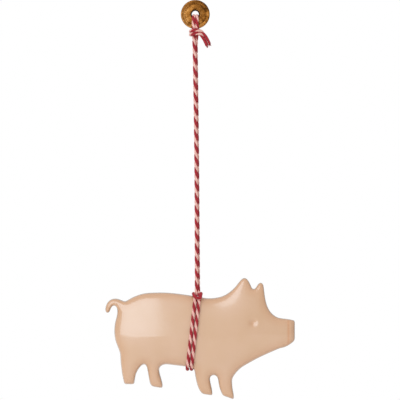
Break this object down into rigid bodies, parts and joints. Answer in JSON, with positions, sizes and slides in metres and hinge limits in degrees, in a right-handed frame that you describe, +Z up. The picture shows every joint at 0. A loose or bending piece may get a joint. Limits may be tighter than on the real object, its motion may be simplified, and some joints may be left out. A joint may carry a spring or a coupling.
{
  "type": "hanging pig ornament",
  "caption": "Hollow pressed and enamelled metal pig figurine that hangs from doubled cotton twine, hitched round its body and tied to a small round brass tag with a hole.",
  "frame": {"origin": "centre of the tag's hole, which is where the ornament is hung", "axes": "+Z up along the hanging twine, +X towards the pig's snout, +Y away from the viewer, square to the tag"},
  "size_m": [0.072, 0.0143, 0.1518],
  "materials": {
    "pig_enamel": "gloss",
    "tag_brass": "antique, satin",
    "twine_cotton": "matte"
  },
  "bodies": {
    "tag": {"tag_disc": "tag_brass"},
    "knot": {"twine_tag_loop": "twine_cotton", "twine_knot": "twine_cotton", "twine_ends": "twine_cotton"},
    "strands": {"twine_strand_left": "twine_cotton", "twine_strand_right": "twine_cotton"},
    "pig": {"front_shell": "pig_enamel", "back_shell": "pig_enamel", "twine_hitch": "twine_cotton"}
  },
  "joints": [
    {"name": "tag_swing", "type": "hinge", "parent": "tag", "child": "knot", "pos_m": [0, 0, 0], "axis": [0, 1, 0], "range_deg": [-60, 60]},
    {"name": "twine_swing", "type": "hinge", "parent": "knot", "child": "strands", "pos_m": [0, 0, -0.00955], "axis": [1, 0, 0], "range_deg": [-60, 60]},
    {"name": "twine_twist", "type": "hinge", "parent": "strands", "child": "pig", "pos_m": [0.00079, 0, -0.09991], "axis": [-0.0088, 0, 1], "range_deg": [-180, 180]}
  ]
}
